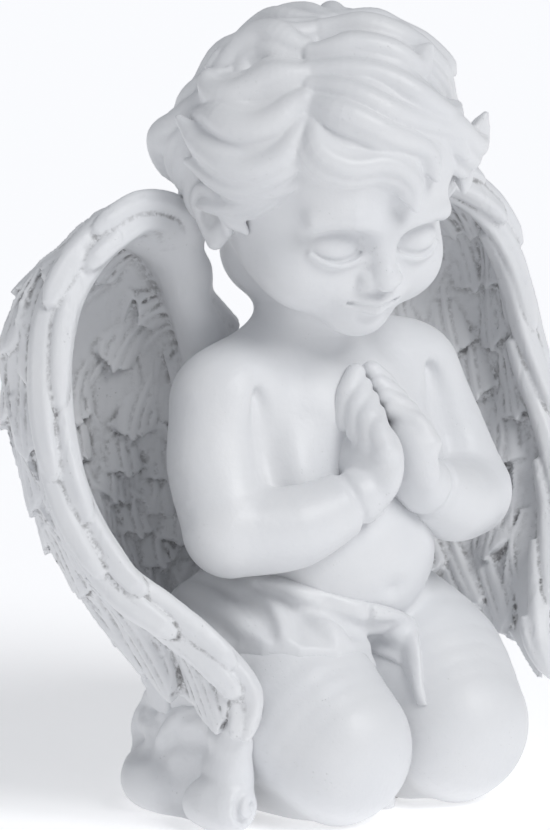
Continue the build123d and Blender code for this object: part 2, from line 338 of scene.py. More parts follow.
def head_ball(centre, radii, spin=None):
    """An ellipsoid given in the head's own frame."""
    return ellipsoid(head_point(centre), radii, HEAD_TURN if spin is None else HEAD_TURN @ spin)


def upper_arm(side):
    points = sided([(45.5, 1, 153), (53, -5, 132), (58, -17, 111)], side)
    return Tube(points, [19, 18.5, 16.5], 10)


def torso():
    """Trunk, neck and the roots of the arms, as (shape, blend), in the order they are joined."""
    parts = [
        (ellipsoid((0, 12, 66), (41, 37, 36)), 0),
        (ellipsoid((0, -9, 95), (38, 37, 34)), 9),
        (ellipsoid((0, 0, 140), (43, 31, 35)), 14),
        (ellipsoid((0, 20, 128), (36, 18, 34)), 10),
        (Tube([(0, 6, 160), (-2, 0, 190)], [21, 18], 3), 10),
        (ellipsoid((-22, 20, 142), (18, 12, 22)), 10),
        (ellipsoid((22, 20, 142), (18, 12, 22)), 10),
        (ellipsoid((-29, -6, 122), (23, 27, 27)), 8),
        (ellipsoid((29, -6, 122), (23, 27, 27)), 8),
        (head_ball((0, -12, -21), (33, 28, 24)), 5),
    ]
    for side in (-1, 1):
        parts.append((ellipsoid((41 * side, 2, 154), (19, 19, 19)), 11))
        parts.append((Tube(sided([(6, 8, 171), (31, 5, 163)], side), [15, 13.5], 3), 9))
        parts.append((upper_arm(side), 7))
    return parts


def torso_clay(low, high, step):
    clay = Clay(low, high, step)
    for shape, blend in torso():
        clay.add(shape, blend)
    # The fold between arm and chest
    for side in (-1, 1):
        fold = [(42, -13, 158), (43, -19, 147), (43, -24, 134), (42, -30, 122)]
        clay.carve(Tube(sided(fold, side), [0.3, 1.8, 2.6, 1.2], 24), 12)
    return clay


def body_field(low, high, step):
    clay = torso_clay(low, high, step)
    x, _, z = clay.axes()
    # Chest and back: a shallow furrow down the middle, collar bones and shoulder blades
    clay.carve(Tube([(0, -36, 150), (0, -35.5, 125)], [2, 2], 3), 5)
    clay.carve(Tube([(0, 38.5, 150), (0, 42, 120), (0, 49.5, 80)], [2.2, 2.2, 2.2], 8), 8)
    # Navel, in a soft hollow
    clay.carve(ellipsoid((0, -47.5, 84), (5, 4, 4)), 5)
    clay.carve(Tube([(-1.6, -44, 84.5), (0, -43, 84), (1.6, -44, 84.5)], [1.3, 1.7, 1.3], 4), 1)
    for side in (-1, 1):
        clay.sink(0, JOINT_X * side, side, where=z > 92)
    clay.sink(2, JOINT_Z, 1, where=abs(x) < 36)
    legs = clay.empty()
    for side in (-1, 1):
        leg = clay.empty()
        leg.add(ellipsoid((30 * side, 10, 48), (31, 31, 37)))
        leg.add(Tube(sided([(32, 4, 50), (32, -22, 43), (29, -45, 30)], side), [35.5, 33, 27], 8), 6)
        leg.add(ellipsoid((28 * side, -46, 27.5), (25, 23.5, 26.5)), 5)
        leg.add(Tube(sided([(29, -45, 15), (28, 0, 15.5), (26, 42, 13.5)], side), [14.5, 16.5, 12], 8), 4)
        leg.add(ellipsoid((20 * side, 34, 46), (25, 24, 29)), 8)
        leg.add(Tube(sided([(32, -26, 9.5), (34, 12, 9.5)], side), [9.5, 10], 2), 9)
        leg.add(Tube(sided([(17, -30, 6.5), (19, 12, 6.5)], side), [6.5, 6.5], 2), 9)
        # Foot: heel, instep and sole, with the toes pointing back
        leg.add(ellipsoid((24 * side, 40, 19), (10.5, 11, 11)), 5)
        leg.add(Tube(sided([(25, 42, 13), (22, 58, 11), (20, 68, 7.5)], side), [11, 9.5, 6.5], 6), 4)
        toes = [(13.5, 70.5, 7.6, 5.0), (19.4, 73, 6.2, 3.9), (24, 72, 5.8, 3.6)]
        toes += [(28, 70, 5.5, 3.4), (31.4, 67.2, 5.2, 3.2)]
        for tx, ty, tz, tr in toes:
            leg.add(Tube(sided([(tx * 0.6 + 9.5, ty - 10, 8.5), (tx, ty, tz)], side), [tr, tr], 2), 1.6)
        legs.d = smooth_min(legs.d, leg.d, 2.0)
    clay.d = smooth_min(clay.d, legs.d, 5.0)
    # Resin that closes the space between the legs, down to the ground
    filler = [(0, -38, 3), (0, -16, 11), (0, 14, 13), (0, 38, 10), (0, 50, 3)]
    clay.add(Tube(filler, [4.5, 12, 14, 12, 6], 14), 6)
    return clay


BODY_LOW, BODY_HIGH = (-78, -80, -3), (78, 82, 182)
body = body_field(BODY_LOW, BODY_HIGH, BODY_STEP)
body.stand()
cast("body_skin", body, 3)


# ------------------------------------------------------------ arms and hands
def arm_piece(side, name):
    near, far = sorted((-2 * side, 88 * side))
    clay = torso_clay((near, -66, 84), (far, 26, 176), ARM_STEP)
    clay.sink(0, JOINT_X * side, -side)
    x = clay.axes()[0]
    forearm = sided([(57.5, -18.5, 109), (38, -32, 111), (16, -41.5, 121)], side)
    clay.add(Tube(forearm, [16.5, 15.3, 10.8], 26), 3)
    hand = clay.empty()
    lean = turn(-14, 14 * -side, 0)
    hand.add(ellipsoid((8.4 * side, -42.5, 131.5), (7.8, 13, 16), lean))
    hand.add(ellipsoid((8.5 * side, -35, 128), (7, 9, 12), lean), 4)
    digits = clay.empty()
    for k in range(4):
        knuckle = np.array([10.6, -50.5 + 7.4 * k, 138.5 + 2.8 * k])
        tip = np.array([3.9, -37.5 + 3.9 * k, 150 + 4.4 * k])
        middle = (knuckle + tip) / 2 + (2.0, -1.0, 1.2)
        thick = [5.0, 4.7, 3.8] if k else [4.6, 4.3, 3.5]
        digits.add(Tube(sided([knuckle, middle, tip], side), thick, 6), 0.7)
    digits.add(Tube(sided([(9.5, -31, 130), (8, -25, 142), (4.6, -24, 151)], side), [6, 5.2, 4], 6), 0.7)
    hand.d = smooth_min(hand.d, digits.d, 2.2)
    clay.d = smooth_min(clay.d, hand.d, 2.5)
    # The fold round the wrist
    along = np.array([-0.846, -0.365, 0.385])
    over = np.cross(along, (0, 0, 1)) / math.hypot(*along[:2])
    under = np.cross(along, over)
    wrist, girth = np.array((18.5, -40.5, 120)), 11.4
    ring = [
        wrist + girth * (math.cos(a) * over + math.sin(a) * under) for a in np.arange(0, 6.6, 0.26)
    ]
    clay.carve(Tube(sided(ring, side), [1.3, 1.3], 52), 2.5)
    spread = np.maximum(-x * side + PALM_GAP, -FAR)
    clay.d = np.maximum(clay.d, spread + 0 * clay.d).astype(np.float32)
    cast(name, clay, 2)


arm_piece(-1, "right_arm_skin")
arm_piece(1, "left_arm_skin")


# ------------------------------------------------------------ loincloth
def smooth_max(a, b, k):
    return -smooth_min(-a, -b, k)


def drop(clay, field, points):
    """Points moved onto the surface of a field, along its slope."""
    points = np.array(points, float)
    slope = np.gradient(field, clay.step)
    for _ in range(10):
        cell = np.clip(np.round((points - clay.low) / clay.step).astype(int), 0, clay.count - 1)
        index = tuple(cell.T)
        n = np.stack([g[index] for g in slope], -1)
        n /= np.linalg.norm(n, axis=1)[:, None] + 1e-6
        gap = field[index] + ((points - (clay.low + cell * clay.step)) * n).sum(1)
        points = points - n * gap[:, None]
    return points


loin = body_field((-74, -64, 28), (74, 68, 100), LOIN_STEP)
bare = loin.d.copy()
lx, ly, lz = loin.axes()
round_hips = np.degrees(np.arctan2(lx, -(ly - 5)))
waist = np.interp(
    round_hips, [-180, -140, -104, -75, -52, -27, -10, 14, 40, 180],
    [86, 90, 92, 91, 90, 84, 80, 73, 66, 86],
)
front_edge = np.interp(lx, [-62, -54, -45, -32, -21, -10, -2], [-16, -33, -43, -49, -46, -41, -40])
side_hem = np.interp(ly, [-50, -25, 0, 30, 60], [52, 58, 50, 40, 35])
left_edge = np.interp(ly, [-60, -52, -47, -41, -33, -20], [5, 7, 10.5, 14, 17, 17])
lap = np.maximum(np.maximum(front_edge - ly, side_hem - lz), lx - left_edge + 0 * lz)
tail_width = np.interp(lz, [40, 46, 56, 66, 74], [3, 5, 9, 16, 24])
tail = np.maximum(
    np.maximum(41 - lz, lx - left_edge), np.maximum(left_edge - tail_width - lx, ly + 26 + 0 * lz)
)
seat = np.maximum(16 + 0.15 * lx - ly, 36 - lz)
reach = smooth_min(smooth_min(lap, tail, 3.0), seat, 6.0)
reach = smooth_max(reach, lz - waist, 2.0)
loin.d = (bare - 1.6).astype(np.float32)
FOLDS = [
    (
        [(-44, 16, 86), (-43, -4, 84), (-39, -14, 81), (-42, -25, 76), (-48, -38, 69)],
        [4.3, 5.9, 6.5, 5.7, 4.0],
    ),
    (
        [(-38, -4, 88), (-36, -20, 89), (-32, -27, 86), (-28, -29, 77), (-29, -39, 70), (-27, -48, 64)],
        [4.7, 6.2, 7.0, 6.7, 5.9, 4.3],
    ),
    (
        [(-29, -28, 80), (-19, -35, 78), (-6, -39, 77), (8, -36, 71), (15, -37, 64)],
        [4.3, 5.1, 5.1, 4.6, 3.5],
    ),
    (
        [
            (-28, -30, 75), (-18, -36, 70), (-8, -38, 69), (4, -37, 67),
            (12, -41, 61), (9, -47, 54), (6, -51, 45),
        ],
        [3.5, 4.6, 4.8, 4.8, 5.1, 4.6, 3.8],
    ),
    (
        [(-57, -25, 64), (-54, -33, 64), (-45, -43, 64), (-32, -49, 62), (-21, -46, 64), (-9, -41, 65)],
        [3.5, 4.0, 4.3, 4.6, 4.3, 3.8],
    ),
    ([(-50, 18, 82), (-52, -6, 78), (-52, -20, 72), (-52, -32, 66)], [4.0, 5.4, 5.1, 4.0]),
    ([(-40, 26, 80), (-60, 18, 68), (-66, 2, 56)], [3.0, 4.0, 3.2]),
    ([(-30, 38, 78), (-52, 38, 62), (-62, 24, 48)], [3.0, 4.2, 3.2]),
    ([(-14, 46, 76), (-20, 56, 58), (-32, 54, 44)], [2.6, 3.8, 3.2]),
    ([(8, 46, 78), (6, 52, 60), (0, 54, 42)], [2.6, 3.4, 3.0]),
    ([(26, 42, 76), (30, 54, 60), (24, 58, 42)], [2.6, 3.6, 3.0]),
    ([(42, 26, 78), (52, 36, 62), (48, 46, 44)], [2.4, 3.4, 2.8]),
]
for line, radii in FOLDS:
    loin.add(Tube(drop(loin, bare, curve(line, 12)), radii, 24), 2.8)
loin.d = smooth_max(loin.d, reach, 2.6).astype(np.float32)
# A soft hollow where each fold lies on the next
for line in (
    [(-33, -31, 79), (-24, -40, 73), (-12, -43, 70), (0, -42, 70)],
    [(-45, -12, 81), (-46, -24, 75), (-50, -36, 68)],
    [(-34, -14, 88), (-36, -22, 82), (-37, -34, 73), (-38, -45, 66)],
):
    loin.carve(Tube(drop(loin, bare - 5, curve(line, 14)), [0.6, 2.0, 2.0, 0.6], 24), 3)
loin.d = smooth_max(loin.d, -(bare + 1.2), 0.6).astype(np.float32)
cast("loincloth", loin, 2)


# ------------------------------------------------------------ head
class Group:
    """Shapes joined to each other first, then to the clay as one."""

    def __init__(self, parts, blend):
        self.parts, self.blend = parts, blend
        self.low = np.min([p.low for p in parts], 0)
        self.high = np.max([p.high for p in parts], 0)

    def field(self, clay, blend):
        cut = clay.window(self.low - blend, self.high + blend)[0]
        first = np.array([s.start for s in cut])
        side = clay.empty(first, np.array([s.stop - s.start for s in cut]))
        if side.d.size:
            for part in self.parts:
                side.add(part, self.blend)
        return cut, side.d


def head_tube(points, radii, n=8):
    return Tube([head_point(p) for p in points], radii, n)


HAIR_CENTRE = np.array([0.0, 4.0, 9.0])
HAIR_RADII = np.array([47.0, 47.0, 46.0])


def hair_at(turned, raised, lift):
    """A point over the hair: degrees to the left from the brow, degrees up, millimetres out."""
    a, e = math.radians(turned), math.radians(raised)
    way = np.array([math.sin(a) * math.cos(e), -math.cos(a) * math.cos(e), math.sin(e)])
    return HAIR_CENTRE + (HAIR_RADII + lift) * way


# The strands of a lock: offset to the side, how much lower, and radius, as shares of its width
STRANDS = ((0, 0, 0.32), (-0.32, 0.11, 0.21), (0.32, 0.11, 0.21), (-0.56, 0.30, 0.15), (0.56, 0.30, 0.15))


def lock(path, width, seed):
    """A lock of hair: a high strand and lower ones beside it, drawn together at the tip."""
    rng = np.random.default_rng(seed)
    middle = curve([hair_at(*p) for p in path], 22)
    along = np.gradient(middle, axis=0)
    outward = (middle - HAIR_CENTRE) / HAIR_RADII
    across = np.cross(along, outward)
    across /= np.linalg.norm(across, axis=1)[:, None] + 1e-9
    outward = unit(outward)
    t = np.linspace(0, 1, len(middle))
    fan = np.interp(t, [0, 0.25, 0.6, 0.85, 1], [0.7, 1, 1, 0.6, 0.12])
    body = np.interp(t, [0, 0.25, 0.6, 0.86, 1], [0.75, 1, 1, 0.66, 0.22])
    phase, turns = rng.uniform(0, 6), rng.uniform(0.9, 1.3)
    sway = 0.18 * width * np.sin(2 * np.pi * turns * t + phase) * np.sin(np.pi * t)
    swell = 0.09 * width * np.sin(2 * np.pi * turns * t + phase + 1.3) * np.sin(np.pi * t)
    tubes = []
    for offset, lower, share in STRANDS:
        offset = offset + rng.uniform(-0.04, 0.04)
        side = offset * width * fan + sway
        line = middle + across * side[:, None] + outward * (swell - lower * width * fan)[:, None]
        tubes.append(Tube([head_point(p) for p in line], share * width * body, 22))
    return Group(tubes, 1.3)


def head_clay(step):
    low, high = (-72, -78, 160), (70, 64, 304)
    clay = torso_clay(low, high, step)
    clay.sink(2, JOINT_Z, -1)
    # Skull, face and neck, on the proportions of a small child
    clay.add(head_ball((0, 2, 3), (44, 46, 45)), 8)
    clay.add(head_ball((0, -14, -17.8), (36, 31, 27)), 8)
    for s in (-1, 1):
        clay.add(head_ball((19 * s, -27, -22.2), (16.5, 15, 15)), 9)
    clay.add(head_ball((0, -35, -38.3), (12.5, 10.5, 9.5)), 8)
    clay.add(head_ball((0, -32, 20), (31, 15, 22)), 12)
    clay.add(head_ball((-3, 12, -35), (27, 22, 22)), 8)
    for s in (-1, 1):
        # Brow, socket, lowered lid, the line under its edge, and the crease above it
        brow = sided([(5, -45.6, 1.6), (15, -46, 4.4), (27, -39.6, 2.2)], s)
        clay.add(head_tube(brow, [2.6, 3.2, 2.4], 6), 9)
        clay.carve(head_ball((16.5 * s, -46.5, -6.2), (9.5, 6, 6.5)), 6)
        clay.add(head_ball((16.5 * s, -36.8, -7.9), (9.8, 8.5, 7.6)), 1.6)
        lid = [
            (6.5, -43.2, -11.2), (11, -44.5, -12.8), (17, -45, -13.5),
            (23, -42.8, -12.6), (27, -39.6, -10.7),
        ]
        clay.add(head_tube(sided(lid, s), [0.8, 1.2, 1.3, 1.1, 0.7], 10), 3)
        edge = [
            (6.8, -42.4, -9.7), (11.5, -44.4, -11), (17, -44.9, -11.6),
            (23, -42.8, -10.7), (27.4, -38.6, -8.4),
        ]
        clay.carve(head_tube(sided(edge, s), [0.5, 1.0, 1.1, 1.0, 0.5], 16), 0.7)
        crease = [
            (8, -42.4, -4.1), (12, -43.6, -1.6), (18, -43.4, -0.8),
            (24, -40.8, -2.5), (27, -38.2, -5.3),
        ]
        clay.carve(head_tube(sided(crease, s), [0.5, 0.9, 1.0, 0.9, 0.5], 16), 1.5)
    # Nose
    clay.add(head_tube([(0, -43, 1.8), (0, -46, -7.1), (0, -49.5, -15.1)], [4, 3.8, 4.6], 8), 5)
    clay.add(head_ball((0, -51, -17.8), (5.2, 4.8, 4.6)), 3)
    for s in (-1, 1):
        clay.add(head_ball((5.4 * s, -47.4, -19.2), (3.4, 4.2, 3.3)), 1.8)
        clay.carve(head_ball((2.7 * s, -50, -21.9), (1.4, 2.0, 1.6)), 1)
    # Mouth
    clay.add(head_ball((0, -41.5, -28), (13, 6.5, 8)), 5)
    clay.carve(head_tube([(0, -49.6, -22.2), (0, -49.2, -25.3)], [1.1, 1.3], 2), 2)
    upper_lip = [(9.6, -43.6, -29), (4, -47.4, -27.1), (0, -48.2, -27.8)]
    clay.add(Group([head_tube(sided(upper_lip, s), [1.1, 2.3, 2.0], 6) for s in (-1, 1)], 1), 1.4)
    lower_lip = [(-7.6, -43.8, -30.6), (0, -47.2, -31.9), (7.6, -43.8, -30.6)]
    clay.add(head_tube(lower_lip, [1.2, 3.0, 1.2], 8), 1.5)
    parting = [
        (-10.4, -44.6, -29.1), (-4, -48.9, -29.5), (0, -49.6, -30),
        (4, -48.9, -29.5), (10.4, -44.6, -29.1),
    ]
    clay.carve(head_tube(parting, [0.8, 0.55, 0.5, 0.55, 0.8], 10), 0.8)
    clay.carve(head_tube([(-5, -46.6, -35.2), (0, -47.4, -35.6), (5, -46.6, -35.2)], [1.0, 1.4, 1.0], 6), 3)
    # Ears
    for s in (-1, 1):
        rim = [
            (44, -9, -15.1), (47.5, -9, -7.1), (49.5, -3.5, -1.3), (50.5, 4, -3.1),
            (50, 6.5, -9.8), (47.5, 2, -16.9), (45, -3, -21.8),
        ]
        ear = [
            head_ball((43.5 * s, -1, -11.6), (4.5, 8.5, 12)),
            head_tube(sided(rim, s), [1.8, 2.1, 2.4, 2.5, 2.4, 2.5, 3.2], 20),
        ]
        clay.add(Group(ear, 2), 2.5)
        clay.carve(head_ball((48.5 * s, -2, -9.8), (3.2, 4.6, 6.6)), 2)
    return clay


def add_hair(clay):
    cap = [
        head_ball((0, 6, 12), (46.0, 45.0, 43.0)),
        head_ball((0, 16, -6), (39.5, 32, 28)),
    ]
    hood = Group(cap, 10)
    cut, d = hood.field(clay, 0)
    patch = clay.empty()
    patch.d[cut] = d
    for s in (-1, 1):
        patch.carve(head_ball((50 * s, -12, -18), (15, 18, 19)), 5)
    clay.d = smooth_min(clay.d, patch.d, 1.5)
    for seed, (path, width) in enumerate(HAIR):
        clay.add(lock(path, width, seed), 0.7)


# Locks: points (turned, raised, lift) and width in millimetres, from under to over
HAIR = []
# The back: two layers that fall from the crown and turn out at the tips
for k in range(9):
    turned, sway = 108 + 18 * k, 6 if k % 2 else -5
    HAIR.append(([
        (turned + 6, 40, 1), (turned + sway, 22, 3), (turned, 4, 4), (turned + 5, -14, 4),
        (turned - sway, -30, 4), (turned - 2 * sway, -41, 7),
    ], 17))
for k in range(9):
    turned, sway = 84 + 21 * k, 8 if k % 2 else -5
    HAIR.append(([
        (turned - 10, 76, 1), (turned - 3, 62, 2), (turned + sway, 46, 3), (turned, 29, 3),
        (turned + sway, 13, 4), (turned + 2 * sway, 5, 7),
    ], 17))
HAIR += [
    # Temple, ear and neck on the figure's right
    ([(-100, 8, 1), (-102, -8, 4), (-98, -22, 5), (-90, -33, 3), (-82, -38, 3)], 12),
    ([(-114, -10, 2), (-116, -26, 5), (-112, -39, 5), (-102, -48, 3)], 14),
    ([(-130, -8, 2), (-134, -24, 5), (-128, -40, 5), (-118, -52, 4)], 15),
    ([(112, -8, 2), (116, -24, 5), (112, -38, 5), (104, -48, 3)], 15),
    ([(-104, 27, 2), (-112, 13, 6), (-119, 0, 11), (-118, -11, 12), (-108, -19, 9)], 18),
    ([(-98, 16, 2), (-106, 4, 6), (-108, -8, 9), (-104, -18, 8), (-97, -22, 5)], 12),
    ([(-91, 4, 1), (-85, -9, 3), (-77, -17, 4), (-69, -21, 4), (-64, -26, 3)], 8),
    ([(-50, 8, 0), (-56, -2, 3), (-66, -9, 4), (-80, -15, 6), (-92, -22, 7)], 10),
    # The same on its left
    ([(60, 20, 1), (68, 8, 3), (74, -6, 3), (74, -18, 3), (68, -28, 2)], 12),
    ([(78, 28, 2), (84, 12, 4), (88, -5, 4), (86, -20, 4), (80, -32, 3)], 14),
    ([(94, 32, 2), (98, 14, 4), (102, -4, 5), (102, -21, 5), (96, -36, 4)], 14),
    ([(44, 30, 1), (56, 15, 4), (62, 0, 5), (58, -9, 7)], 12),
    # From the parting back and down to the figure's right
    ([(-160, 68, 0), (-150, 50, 1), (-138, 35, 1), (-130, 19, 2), (-122, 8, 5)], 19),
    ([(-84, 67, 1), (-104, 60, 3), (-117, 48, 4), (-122, 37, 5), (-116, 30, 8)], 19),
    ([(-43, 27, 0), (-51, 11, 3), (-62, 3, 5), (-78, -2, 7), (-95, -3, 9)], 12),
    ([(-50, 43, 1), (-62, 31, 3), (-77, 21, 4), (-92, 15, 5), (-107, 13, 7)], 20),
    ([(-60, 55, 1), (-74, 45, 3), (-89, 35, 5), (-102, 28, 6), (-110, 29, 9)], 19),
    ([(-46, 34, 0), (-49, 21, 4), (-60, 12, 6), (-73, 7, 7), (-88, 6, 9), (-102, 11, 13)], 16),
    # From the parting over the brow to the figure's left
    ([(150, 72, 1), (120, 62, 4), (102, 50, 5), (91, 38, 6), (86, 31, 9)], 19),
    ([(-120, 80, 1), (60, 82, 3), (74, 62, 4), (79, 47, 5), (78, 36, 6)], 19),
    ([(-57, 58, 1), (-26, 59, 4), (2, 53, 5), (22, 44, 6), (41, 34, 6), (52, 32, 7)], 17),
    ([(-68, 67, 1), (-28, 70, 5), (18, 66, 6), (40, 58, 6), (56, 57, 11)], 16),
    ([(-50, 52, 1), (-28, 50, 4), (-4, 45, 6), (18, 37, 6), (34, 25, 7), (38, 15, 9)], 16),
    ([(-42, 34, 1), (-36, 25, 6), (-22, 20, 8), (-7, 18, 8), (3, 12, 9), (5, 3, 12)], 14),
    ([(-45, 44, 1), (-29, 40, 6), (-10, 37, 7), (5, 31, 7), (15, 22, 7), (17, 12, 9)], 16),
    ([(14, 38, 1), (32, 30, 5), (46, 19, 7), (57, 16, 10), (59, 23, 14)], 16),
]

head = head_clay(HEAD_STEP)
add_hair(head)
cast("head_skin", head, 1)


# ------------------------------------------------------------ wings
# Rows run from the shoulder down to the tip, columns from the inner edge to the front rim
WING_GUIDE = np.array([
    [(-14, 30, 176), (-36, 38, 202), (-58, 42, 220), (-76, 34, 221), (-72, 22, 223)],
    [(-22, 44, 160), (-50, 57, 172), (-83, 59, 190), (-105, 44, 190), (-104, 27, 194)],
    [(-26, 48, 130), (-55, 63, 140), (-87, 62, 152), (-109, 44, 156), (-110, 21, 153)],
    [(-18, 50, 108), (-50, 61, 116), (-83, 57, 123), (-104, 38, 124), (-110, 9, 121)],
    [(-16, 50, 90), (-46, 58, 96), (-77, 50, 99), (-96, 30, 97), (-98, -9, 93)],
    [(-18, 51, 78), (-46, 53, 79), (-71, 42, 80), (-86, 20, 77), (-79, -29, 70)],
    [(-24, 50, 70), (-48, 47, 67), (-67, 33, 64), (-77, -6, 54), (-71, -38, 38)],
], float)
# The roll along the top and the front, from behind the hair to the tip, and the stem from the shoulder
WING_ROLL = [
    (-36, 26, 211), (-50, 23, 221), (-71, 21, 223), (-92, 24, 209), (-105, 25, 187), (-110, 20, 152),
    (-110, 8, 122), (-102, -6, 97), (-89, -19, 82), (-76, -32, 67), (-68, -39, 52), (-72, -40, 37),
]
WING_STEM = [(-22, 33, 142), (-24, 31, 158), (-32, 31, 176), (-40, 31, 194), (-42, 28, 213)]
STEM_RADII = [12.5, 11.5, 8.5, 6.5, 6]
# What closes the top, between stem, roll and sheet
WING_WEB = np.array([(-35, 33, 197), (-47, 34, 209), (-60, 34, 215), (-74, 30, 217)], float)


def along_rows(grid, s):
    """Catmull-Rom through the first axis of a grid, at many places s from 0 to 1."""
    p = np.concatenate([2 * grid[:1] - grid[1:2], grid, 2 * grid[-1:] - grid[-2:-1]])
    u = np.clip(s, 0, 1) * (len(grid) - 1)
    i = np.minimum(u.astype(int), len(grid) - 2)
    t = (u - i).reshape(-1, *([1] * (grid.ndim - 1)))
    return between(p[i], p[i + 1], p[i + 2], p[i + 3], t)


def place_wing(points, side):
    """Points given for the right wing, or the same for the left, which is open a little wider."""
    points = np.array(points, float)
    if side == 1:
        points[..., 0] = -points[..., 0] + np.clip((-points[..., 0] - 20) / 80, 0, 1) * 10
    return points


class WingSheet:
    """The middle surface of a wing: u runs from the inner edge to the rim, t down to the tip."""

    def __init__(self, side):
        self.guide, self.side = place_wing(WING_GUIDE, side), side

    def at(self, u, t):
        u, t = np.broadcast_arrays(np.asarray(u, float), np.asarray(t, float))
        shape, u, t = u.shape, u.ravel(), t.ravel()
        rows = along_rows(self.guide, t)
        columns = np.moveaxis(rows, 1, 0)
        p = np.concatenate([2 * columns[:1] - columns[1:2], columns, 2 * columns[-1:] - columns[-2:-1]])
        v = np.clip(u, 0, 1) * (len(columns) - 1)
        i = np.minimum(v.astype(int), len(columns) - 2)
        k = np.arange(len(u))
        s = (v - i)[:, None]
        return between(p[i, k], p[i + 1, k], p[i + 2, k], p[i + 3, k], s).reshape(*shape, 3)

    def frame(self, u, t):
        """Points, unit steps towards the tip, and the normal of the face turned to the front."""
        e = 0.01
        p = self.at(u, t)
        du = self.at(np.clip(u + e, 0, 1), t) - self.at(np.clip(u - e, 0, 1), t)
        dt = self.at(u, np.clip(t + e, 0, 1)) - self.at(u, np.clip(t - e, 0, 1))
        du, dt = unit(du), unit(dt)
        n = np.cross(du, dt) * (1 if self.side == -1 else -1)
        return p, dt, unit(n)


def closed_plate(top, under):
    """Points and quads of a closed shell between two grids of points."""
    n, m = top.shape[:2]
    index = np.arange(n * m).reshape(n, m)
    quads = np.stack([index[:-1, :-1], index[1:, :-1], index[1:, 1:], index[:-1, 1:]], -1).reshape(-1, 4)
    ring = np.concatenate([index[:, 0], index[-1, 1:], index[-2::-1, -1], index[0, -2:0:-1]])
    after = np.roll(ring, -1)
    wall = np.stack([ring, after, after + n * m, ring + n * m], 1)
    points = np.concatenate([top.reshape(-1, 3), under.reshape(-1, 3)])
    return points, np.concatenate([quads[:, ::-1], quads + n * m, wall])


def pipe(centre, side, out, wide, deep, rng):
    """Points and quads of a long feather round the edge: a fluted bar, closed at both ends."""
    angle = np.linspace(0, 2 * np.pi, 40, endpoint=False)[None, :]
    along = np.linspace(0, 1, len(centre))[:, None]
    flute = 1 + 0.06 * np.sin(3 * angle + 1.5 * along + rng.uniform(0, 6))
    flute = flute + 0.05 * np.sin(5 * angle - 1.2 * along + rng.uniform(0, 6)) * np.sin(np.pi * along) ** 0.4
    flute = flute + 0.025 * np.sin(15 * angle + 3 * along + rng.uniform(0, 6))
    ends = np.ones(len(centre))
    ends[[0, -1]] = 0.02
    ring = centre[:, None] + (
        side[:, None] * (np.cos(angle) * flute * (wide * ends)[:, None])[..., None]
        + out[:, None] * (np.sin(angle) * flute * (deep * ends)[:, None])[..., None]
    )
    index = np.arange(ring.shape[0] * ring.shape[1]).reshape(ring.shape[:2])
    beside = np.roll(index, -1, 1)
    quads = np.stack([index[:-1], beside[:-1], beside[1:], index[1:]], -1).reshape(-1, 4)
    return ring.reshape(-1, 3), quads


WING_LENGTH = 130      # about, in millimetres, from t = 0 to t = 1


def feather(sheet, root, tip, width, face, lift, thick=4.2, bow=0.0, seed=0):
    """A feather laid on one face of the sheet from a root (u, t) to a tip (u, t), its tip raised off it."""
    rng = np.random.default_rng(seed)
    s = np.linspace(0, 1, 40)[:, None]      # along
    w = np.linspace(-1, 1, 21)[None, :]     # across
    root, tip = np.array(root, float), np.array(tip, float)
    centre = root + (tip - root) * s
    centre[:, 0] += bow * np.sin(np.pi * s[:, 0])
    t = np.clip(centre[:, 1], 0, 1)
    p, dt, normal = sheet.frame(np.clip(centre[:, 0], 0, 1), t)
    p = p + dt * WING_LENGTH * (centre[:, 1] - t)[:, None]      # a tip may hang over the edge
    run = np.gradient(p, axis=0)
    length = np.linalg.norm(run, axis=1).sum()
    run = unit(run)
    across = unit(np.cross(normal, run))
    normal = normal * face
    outline = [0.5, 0.72, 0.95, 1.0, 0.86, 0.55, 0.15]
    half = width / 2 * np.interp(s[:, 0], [0, 0.2, 0.5, 0.8, 0.9, 0.97, 1], outline)
    half = (half * (1 + 0.025 * np.sin(9 * s[:, 0] + rng.uniform(0, 6))))[:, None]
    # Domed across, with a groove each side of the quill, barbs, and slits where the vane has parted
    rise = 1.6 + lift * s**1.4 - 0.36 * half * abs(w) ** 2.6
    rachis = 0.7 * np.exp(-(w * half / 0.8) ** 2) - 0.7 * np.exp(-((abs(w) * half - 1.9) / 0.9) ** 2)
    rachis = rachis * np.clip(1.35 - s, 0, 1)
    wave = np.sin((s * length * 0.9 - abs(w) * half * 1.3) * 2 * np.pi / 2.9 + rng.uniform(0, 6))
    groove = 0.22 * wave * np.clip(abs(w) * 3 - 0.4, 0, 1)
    for place in (rng.uniform(-0.75, -0.35), rng.uniform(0.3, 0.75)):
        start, reach = rng.uniform(0.45, 0.62), rng.uniform(0.25, 0.5)
        lean = place + 0.25 * np.sign(place) * (s - start)
        slit = np.exp(-((w - lean) * half / 0.75) ** 2)
        slit = slit * np.clip((s - start) * 9, 0, 1) * np.clip((start + reach - s) * 9, 0, 1)
        groove = groove - 1.5 * slit
    top = p[:, None] + across[:, None] * (w * half)[:, :, None]
    top = top + normal[:, None] * (rise + rachis + groove)[:, :, None]
    pull = run[:, None] * (-(w**2) * width * 0.12 * np.clip(s * 1.5 - 0.5, 0, 1))[:, :, None]
    top = top + pull
    under = top - normal[:, None] * (thick + rachis + groove - 0.15 * half * w**2)[:, :, None]
    return closed_plate(top, under)


def lowest(place):
    """How far down a tip may go: over the edge, except beside the rim."""
    return 1.0 if place > 0.6 else 1.05


